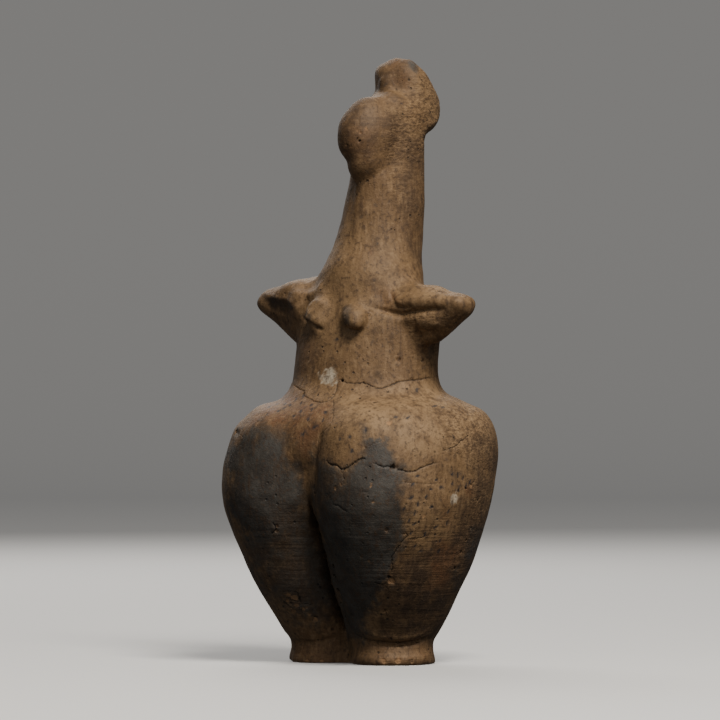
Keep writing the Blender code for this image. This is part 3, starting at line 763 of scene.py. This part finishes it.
def shape_marks(skin, cracks, chips, grains):
    """Presses the cracks, chips and grains into the skin, and gives where they are for the finish."""
    near = nearest(cracks)
    count = len(skin.points)
    depth = np.zeros(count)
    marks = {"dark": np.zeros(count), "fresh": np.zeros(count), "temper": np.zeros(count)}
    for i, point in enumerate(skin.points):
        _, index, gap = near.find(point)
        if gap < FINE_REACH:
            _, width, crack_depth, crack_dark = cracks[index]
            depth[i] += crack_depth * math.exp(-((gap / width) ** 2))
            depth[i] += FURROW_DEPTH * crack_depth * math.exp(-((gap / (FURROW_WIDTH * width)) ** 2))
            marks["dark"][i] = crack_dark * math.exp(-((gap / (DARK_WIDTH * width)) ** 2))
    for number, (place, radius, chip_depth, chip_fresh, chip_dark) in enumerate(chips):
        gaps = np.linalg.norm(skin.points - np.array(place), axis=1)
        for i in np.nonzero(gaps < 1.7 * radius)[0]:
            turn = noise.noise(Vector(skin.points[i]) / (0.9 * radius) + Vector((number * 3.3, 0, 0)))
            share = gaps[i] / (radius * (1 + 0.55 * turn))
            bite = float(ease(1.0, 0.62, share))
            floor = 1 + 0.35 * noise.noise(Vector(skin.points[i]) / (0.4 * radius))
            depth[i] += chip_depth * bite * floor
            marks["fresh"][i] = max(marks["fresh"][i], chip_fresh * bite)
            marks["dark"][i] = max(marks["dark"][i], chip_dark * float(ease(0.9, 0.3, share)))
    for place, radius, strength in grains:
        gaps = np.linalg.norm(skin.points - np.array(place), axis=1)
        close = np.nonzero(gaps < 1.5 * radius)[0]
        bite = strength * ease(1.35 * radius, 0.5 * radius, gaps[close])
        marks["temper"][close] = np.maximum(marks["temper"][close], bite)
    depth += GRAIN_DEPTH * marks["temper"]
    skin.press(depth)
    return marks


def loose_grains(skin):
    """Grains and pores strewn over the whole skin: sunk spots of a seeded scatter."""
    draw = np.random.RandomState(LOOSE_DRAW)
    chosen = draw.choice(np.nonzero(skin.points[:, 2] > 3 * MM)[0], LOOSE_GRAINS, replace=False)
    sizes = draw.uniform(*LOOSE_SIZES, LOOSE_GRAINS) ** 1.5 * 1.15 * MM
    return [(Vector(skin.points[i]), size, LOOSE_STRENGTH) for i, size in zip(chosen, sizes)]


def patch(across, down, corners, soft):
    """1 inside a many-cornered patch of the photograph and 0 outside it, with a soft edge."""
    inside = np.zeros(len(across), bool)
    gap = np.full(len(across), float(PHOTO_SIDE))
    corners = pairs(corners)
    for (x0, y0), (x1, y1) in zip(corners, corners[1:] + corners[:1]):
        run = (x1 - x0, y1 - y0)
        if run[1]:
            beyond = (y0 > down) != (y1 > down)
            inside ^= beyond & (across < run[0] * (down - y0) / run[1] + x0)
        t = np.clip(((across - x0) * run[0] + (down - y0) * run[1]) / (run[0] ** 2 + run[1] ** 2), 0, 1)
        gap = np.minimum(gap, np.hypot(across - x0 - t * run[0], down - y0 - t * run[1]))
    return ease(-soft, soft, np.where(inside, gap, -gap))


def shown(skin):
    """How far each point is on the side that the photograph shows, from 0 to 1."""
    return ease(-0.2, 0.15, skin.facing @ np.array(TOWARDS_CAMERA))


def lay(skin, patches, ragged, fine):
    """How strongly a family of patches lies on each point of the side that the photograph shows."""
    across, down = skin.in_photo()
    left = ease(-1 * MM, 1 * MM, skin.points[:, 0])
    sides = {"left": left, "right": 1 - left, "both": 1.0}
    laid = np.zeros(len(skin.points))
    for corners, strength, soft, side in patches:
        stray = 0.9 * soft
        x = across + stray * (ragged + 0.5 * fine)
        y = down + stray * (ragged[::-1] + 0.5 * fine)
        laid = np.maximum(laid, strength * patch(x, y, corners, soft) * sides[side])
    return laid * shown(skin)


def behind(skin, name):
    """Clouds of colour on the sides that the photograph doesn't show."""
    size, seed, low, high, strength = CLOUDS[name]
    return strength * (ease(low, high, wander(skin.points, size * MM, seed, 3)) * (1 - shown(skin)))


def lay_colour(skin, marks):
    """Keeps the colour patches on the skin for the finish."""
    ragged = wander(skin.points, 15 * MM, 11.0, 3)
    fine = wander(skin.points, 4 * MM, 12.0, 2)
    low = ease(175 * MM, 120 * MM, skin.points[:, 2])
    smoke = lay(skin, SMOKE_AND_PAINTED_SHADE, ragged, fine) + behind(skin, "smoke") * low
    skin.keep("smoke", smoke + behind(skin, "haze"))
    for name, patches in {"earth": EARTH_AND_PAINTED_LIGHT, "pale": PALE_AND_PAINTED_LIGHT, "brown": BROWN_AND_PAINTED_SHADE}.items():
        skin.keep(name, lay(skin, patches, ragged, fine) + behind(skin, name))
    skin.keep("plaster", lay(skin, PLASTER, 2 * ragged, 2 * fine))
    for name, values in marks.items():
        skin.keep(name, values)


def crust_of(skin):
    """Where the skin is rough: the crusted hip, the hair and the side of the neck, also behind."""
    ragged = wander(skin.points, 12 * MM, 13.0, 2)
    hair = ease(300 * MM, 335 * MM, skin.points[:, 2]) * ease(-0.2, 0.3, skin.facing[:, 1])
    rest = np.maximum(0.7 * hair, behind(skin, "crust"))
    return np.clip(lay(skin, CRUST, ragged, ragged) + rest, 0, 1)


def make_skin():
    """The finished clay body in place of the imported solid."""
    clay = knead("idol")
    skin = Skin(clay)
    refine(skin, [(Vector(p), ROUGH_REACH) for p in skin.points[slot_of(skin) > 0.2]])
    shape_pulls(skin)
    shape_folds(skin)
    shape_by_hand(skin)
    refine(skin, [(Vector(p), ROUGH_REACH) for p in skin.points[crust_of(skin) > 0.5]])
    shape_crust(skin, crust_of(skin))
    cracks, chips, grains = near_marks(skin.tree())
    grains += loose_grains(skin)
    spots = [(c[0], 1.1 * c[1]) for c in chips]
    specks = [grain[:2] for grain in grains]
    refine(skin, [(c[0], FINE_REACH) for c in cracks] + [(p, r + MM) for p, r in spots + specks])
    refine(skin, [(c[0], FINEST_REACH) for c in cracks] + [(p, r + 0.3 * MM) for p, r in spots])
    marks = shape_marks(skin, cracks, chips, grains)
    # The slot between the legs is darkened in the same mark as the cracks: painted shade in the crevice.
    marks["dark"] = np.maximum(marks["dark"], 0.85 * slot_of(skin))
    low, high = (np.array(corner) for corner in CAD_BOX)
    skin.points = np.clip(skin.points, low, high)
    skin.settle()
    skin.keep("crust", crust_of(skin))
    lay_colour(skin, marks)
    clay.data.shade_smooth()
    return clay


class Value:
    """A shader value that sums like a number: each operator adds its own Math node."""

    def __init__(self, finish, socket):
        self.finish = finish
        self.socket = socket

    def sum(self, operation, *others):
        return self.finish.node("ShaderNodeMath", {"operation": operation}, *others)

    def __add__(self, other):
        return self.sum("ADD", self, other)

    def __sub__(self, other):
        return self.sum("SUBTRACT", self, other)

    def __rsub__(self, other):
        return self.sum("SUBTRACT", other, self)

    def __mul__(self, other):
        return self.sum("MULTIPLY", self, other)

    __radd__ = __add__
    __rmul__ = __mul__

    def height(self):
        """The third part of a place."""
        return self.finish.node("ShaderNodeSeparateXYZ", None, self, out="Z")

    def steps(self, low, high):
        """A soft step from 0 at low to 1 at high."""
        settings = {"interpolation_type": "SMOOTHSTEP"}
        ends = {"From Min": low, "From Max": high}
        return self.finish.node("ShaderNodeMapRange", settings, Value=self, **ends)


class Finish:
    """A material being built, with its nodes and links."""

    def __init__(self, name):
        self.material = bpy.data.materials.new(name)
        self.material.use_nodes = True
        self.tree = self.material.node_tree
        self.shader = self.tree.nodes["Principled BSDF"]

    def node(self, kind, settings=None, *values, out=0, **named):
        """Adds a node, sets it, feeds its sockets and gives its output."""
        made = self.tree.nodes.new(kind)
        for key, value in (settings or {}).items():
            setattr(made, key, value)
        for socket, value in zip(made.inputs, values):
            self.feed(socket, value)
        for socket, value in named.items():
            self.feed(made.inputs[socket], value)
        return Value(self, made.outputs[out])

    def feed(self, socket, value):
        """Links a value to a socket, or sets the socket's own number or colour."""
        if isinstance(value, Value):
            self.tree.links.new(value.socket, socket)
        elif value is not None:
            socket.default_value = value

    def place(self, stretch=None):
        """Places on the object, stretched for a pattern with a direction."""
        where = self.node("ShaderNodeTexCoord", out="Object")
        if stretch is None:
            return where
        return self.node("ShaderNodeMapping", Vector=where, Scale=stretch)

    def lumps(self, size, detail=4.0, roughness=0.55, stretch=None):
        """Noise from 0 to 1 with lumps about as big as size."""
        sockets = {"Scale": 1 / size, "Detail": detail, "Roughness": roughness}
        return self.node("ShaderNodeTexNoise", None, Vector=self.place(stretch), **sockets)

    def pores(self, size):
        """How far each place is from the nearest pore, in cells."""
        return self.node("ShaderNodeTexVoronoi", None, Vector=self.place(), Scale=1 / size)

    def mark(self, name):
        """A value kept on the skin."""
        return self.node("ShaderNodeAttribute", {"attribute_name": name}, out="Fac")

    def blend(self, factor, first, second):
        """One colour over another."""
        made = self.tree.nodes.new("ShaderNodeMix")
        made.data_type = "RGBA"
        self.feed(made.inputs["Factor"], factor)
        self.feed(made.inputs["A"], first)
        self.feed(made.inputs["B"], second)
        return Value(self, next(s for s in made.outputs if s.type == "RGBA"))


def finish_clay():
    """Low-fired clay, rubbed smooth and smoked in places, with pores, grains and fine rubbing marks."""
    clay = Finish("smoked_buff_clay")
    broad = clay.lumps(0.045, 3.0)
    mottle = clay.lumps(0.011, 6.0, 0.62)
    speck = clay.lumps(0.0024, 4.0, 0.62)
    grit = clay.lumps(0.0008, 2.0, 0.7)
    streak = clay.lumps(0.0032, 4.0, 0.6, (1.0, 1.0, 0.16))
    ridges = clay.lumps(0.0022, 3.0, 0.6, (0.06, 0.06, 1.0))
    strokes = clay.lumps(0.0014, 3.0, 0.65, (0.4, 0.4, 1.0))

    buff = (0.142, 0.080, 0.034, 1)
    tan = (0.190, 0.113, 0.051, 1)
    umber = (0.058, 0.032, 0.015, 1)
    soot = (0.020, 0.0190, 0.0168, 1)
    ash = (0.053, 0.050, 0.044, 1)
    dark_brown = (0.022, 0.0115, 0.0055, 1)
    red_earth = (0.118, 0.053, 0.021, 1)
    pale_clay = (0.275, 0.174, 0.088, 1)
    plaster = (0.48, 0.41, 0.31, 1)
    broken = (0.34, 0.19, 0.090, 1)
    deep = (0.006, 0.0045, 0.003, 1)
    blue_grain = (0.017, 0.016, 0.019, 1)

    crust = clay.mark("crust")
    colour = clay.blend(broad.steps(0.36, 0.64), buff, tan)
    colour = clay.blend(mottle.steps(0.50, 0.70) * 0.55, colour, umber)
    # Pale patches: pale clay, with painted light on the foot band and a painted highlight on the hip.
    colour = clay.blend(clay.mark("pale") * mottle.steps(0.66, 0.40) * 0.75, colour, pale_clay)
    # Brown patches: brown clay, with painted shade under the left arm and low on the outer left thigh.
    colour = clay.blend(clay.mark("brown") * (mottle.steps(0.34, 0.58) * 0.55 + 0.4), colour, umber)
    colour = clay.blend(clay.mark("brown") * mottle.steps(0.46, 0.62) * 0.4, colour, dark_brown)
    # Earth patches: red earth, with painted light on the band of the left foot.
    colour = clay.blend(clay.mark("earth") * (mottle.steps(0.60, 0.38) * 0.55 + 0.35), colour, red_earth)
    edge = mottle * 0.55 + speck * 0.15 - 0.35
    # Smoke patches: fire clouds, with painted shade at the breasts and at the end of the right arm.
    smoke = (clay.mark("smoke") + edge).steps(0.08, 0.92)
    cloud = clay.blend(mottle.steps(0.34, 0.66), soot, ash)
    cloud = clay.blend(broad.steps(0.52, 0.7) * 0.3, cloud, umber)
    colour = clay.blend(smoke * 0.93, colour, cloud)
    colour = clay.blend(smoke * speck.steps(0.62, 0.72) * mottle.steps(0.5, 0.62) * 0.6, colour, tan)
    white = (clay.mark("plaster") * 1.3 + speck * 0.9 - 1.0).steps(-0.15, 0.8)
    colour = clay.blend(white * 0.85, colour, plaster)
    colour = clay.blend(speck.steps(0.52, 0.66) * 0.7, colour, umber)
    clear = 1 - clay.mark("brown") * 0.6
    colour = clay.blend(speck.steps(0.46, 0.32) * 0.42 * (1 - smoke * 0.8) * clear, colour, pale_clay)
    head = clay.place().height().steps(*HEAD_RISE)
    colour = clay.blend(streak.steps(0.53, 0.66) * (1 - head) * 0.5, colour, umber)
    washed = streak.steps(0.46, 0.34) * (1 - smoke) * (1 - head) * clear
    colour = clay.blend(washed * 0.35, colour, pale_clay)
    colour = clay.blend(ridges.steps(0.54, 0.68) * head * 0.45, colour, umber)
    colour = clay.blend(crust * strokes.steps(0.50, 0.62) * 0.65, colour, umber)
    colour = clay.blend(crust * strokes.steps(0.47, 0.36) * clear * 0.45, colour, pale_clay)
    pit = clay.pores(PORE_GAP).steps(0.16, 0.09) * clay.lumps(0.025, 2.0).steps(0.46, 0.58)
    colour = clay.blend(pit * 0.7, colour, deep)
    colour = clay.blend(clay.mark("temper") * 0.92, colour, blue_grain)
    # Fresh clay in chips, and two painted highlights on the face.
    colour = clay.blend(clay.mark("fresh") * 0.85, colour, broken)
    # Cracks and chips go dark, and so does the slot between the legs, where the dark is painted shade.
    colour = clay.blend(clay.mark("dark"), colour, deep)
    clay.feed(clay.shader.inputs["Base Color"], colour)

    rough = 0.56 + mottle * 0.24 + clay.mark("fresh") * 0.2 + crust * 0.12 - smoke * 0.06
    clay.feed(clay.shader.inputs["Roughness"], rough)

    lower = clay.place().height().steps(*THIGH_FALL)
    relief = mottle * 0.9 + speck * 0.55 + grit * 0.25 - pit * 0.9 + ridges * lower * 0.85
    relief = relief + crust * strokes * 1.2 + streak * 0.5
    bump = clay.node("ShaderNodeBump", None, Strength=0.75, Distance=0.0008, Height=relief)
    clay.feed(clay.shader.inputs["Normal"], bump)
    clay.shader.inputs["Specular IOR Level"].default_value = 0.4
    return clay.material


def finish_floor():
    """Plain pale paper, which glows a little so that its far side stays pale."""
    paper = Finish("pale_paper")
    looks = {"Base Color": PAPER, "Roughness": PAPER_ROUGHNESS, "Emission Color": PAPER}
    looks["Emission Strength"] = PAPER_GLOW
    for socket, value in looks.items():
        paper.feed(paper.shader.inputs[socket], value)
    return paper.material


def make_floor():
    """A round sheet of pale paper that lies under the idol and curves up far behind it on every side."""
    bm = bmesh.new()
    first = bm.verts.new((0, 0, 0))
    grown = bmesh.ops.extrude_vert_indiv(bm, verts=[first])["verts"]
    bmesh.ops.translate(bm, vec=(FLAT_END, 0, 0), verts=grown)
    curve = {"cent": (FLAT_END, 0, BEND), "axis": (0, -1, 0), "angle": math.pi / 2, "steps": BEND_STEPS}
    turned = bmesh.ops.spin(bm, geom=grown, **curve)["geom_last"]
    top = [g for g in turned if isinstance(g, bmesh.types.BMVert)]
    risen = bmesh.ops.extrude_vert_indiv(bm, verts=top)["verts"]
    bmesh.ops.translate(bm, vec=(0, 0, WALL), verts=risen)
    outline = list(bm.verts) + list(bm.edges)
    circle = {"cent": (0, 0, 0), "axis": (0, 0, 1), "angle": math.tau, "steps": ROUND_STEPS}
    bmesh.ops.spin(bm, geom=outline, use_merge=True, **circle)
    bmesh.ops.remove_doubles(bm, verts=bm.verts, dist=MM)
    bmesh.ops.recalc_face_normals(bm, faces=bm.faces)
    mesh = bpy.data.meshes.new("paper")
    bm.to_mesh(mesh)
    bm.free()
    mesh.shade_smooth()
    floor = put("paper", mesh)
    floor.data.materials.append(finish_floor())
    floor.visible_diffuse = False
    floor.visible_glossy = False
    floor.visible_shadow = False


def light_studio():
    """A soft key high over the camera, weak fills on both sides and behind, and a dim room."""
    for name, ahead, aside, up, size, power, warmth in LAMPS:
        light = bpy.data.lights.new(name, "AREA")
        light.shape = "SQUARE"
        light.size = size
        light.energy = power
        light.color = warmth
        away = TOWARDS_CAMERA * ahead + ACROSS * aside + Vector((0, 0, up))
        lamp = put(name, light)
        lamp.location = LAMP_AIM + away
        lamp.rotation_euler = away.to_track_quat("Z", "Y").to_euler()
    world = bpy.data.worlds.new("room")
    world.use_nodes = True
    room = world.node_tree.nodes["Background"]
    room.inputs["Color"].default_value = ROOM_COLOUR
    room.inputs["Strength"].default_value = ROOM_STRENGTH
    bpy.context.scene.world = world


def set_camera():
    """The photograph's camera."""
    data = bpy.data.cameras.new("photo_camera")
    data.sensor_width = FILM_WIDTH
    data.lens = FILM_WIDTH * PIXELS_PER_RADIAN / PHOTO_SIDE
    camera = put("photo_camera", data)
    camera.location = CAMERA_PLACE
    camera.rotation_euler = (math.radians(90), 0, VIEW_TURN)
    bpy.context.scene.camera = camera


set_camera()
idol = make_skin()
idol.data.materials.append(finish_clay())
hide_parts("idol")
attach(idol, "root")
make_floor()
light_studio()
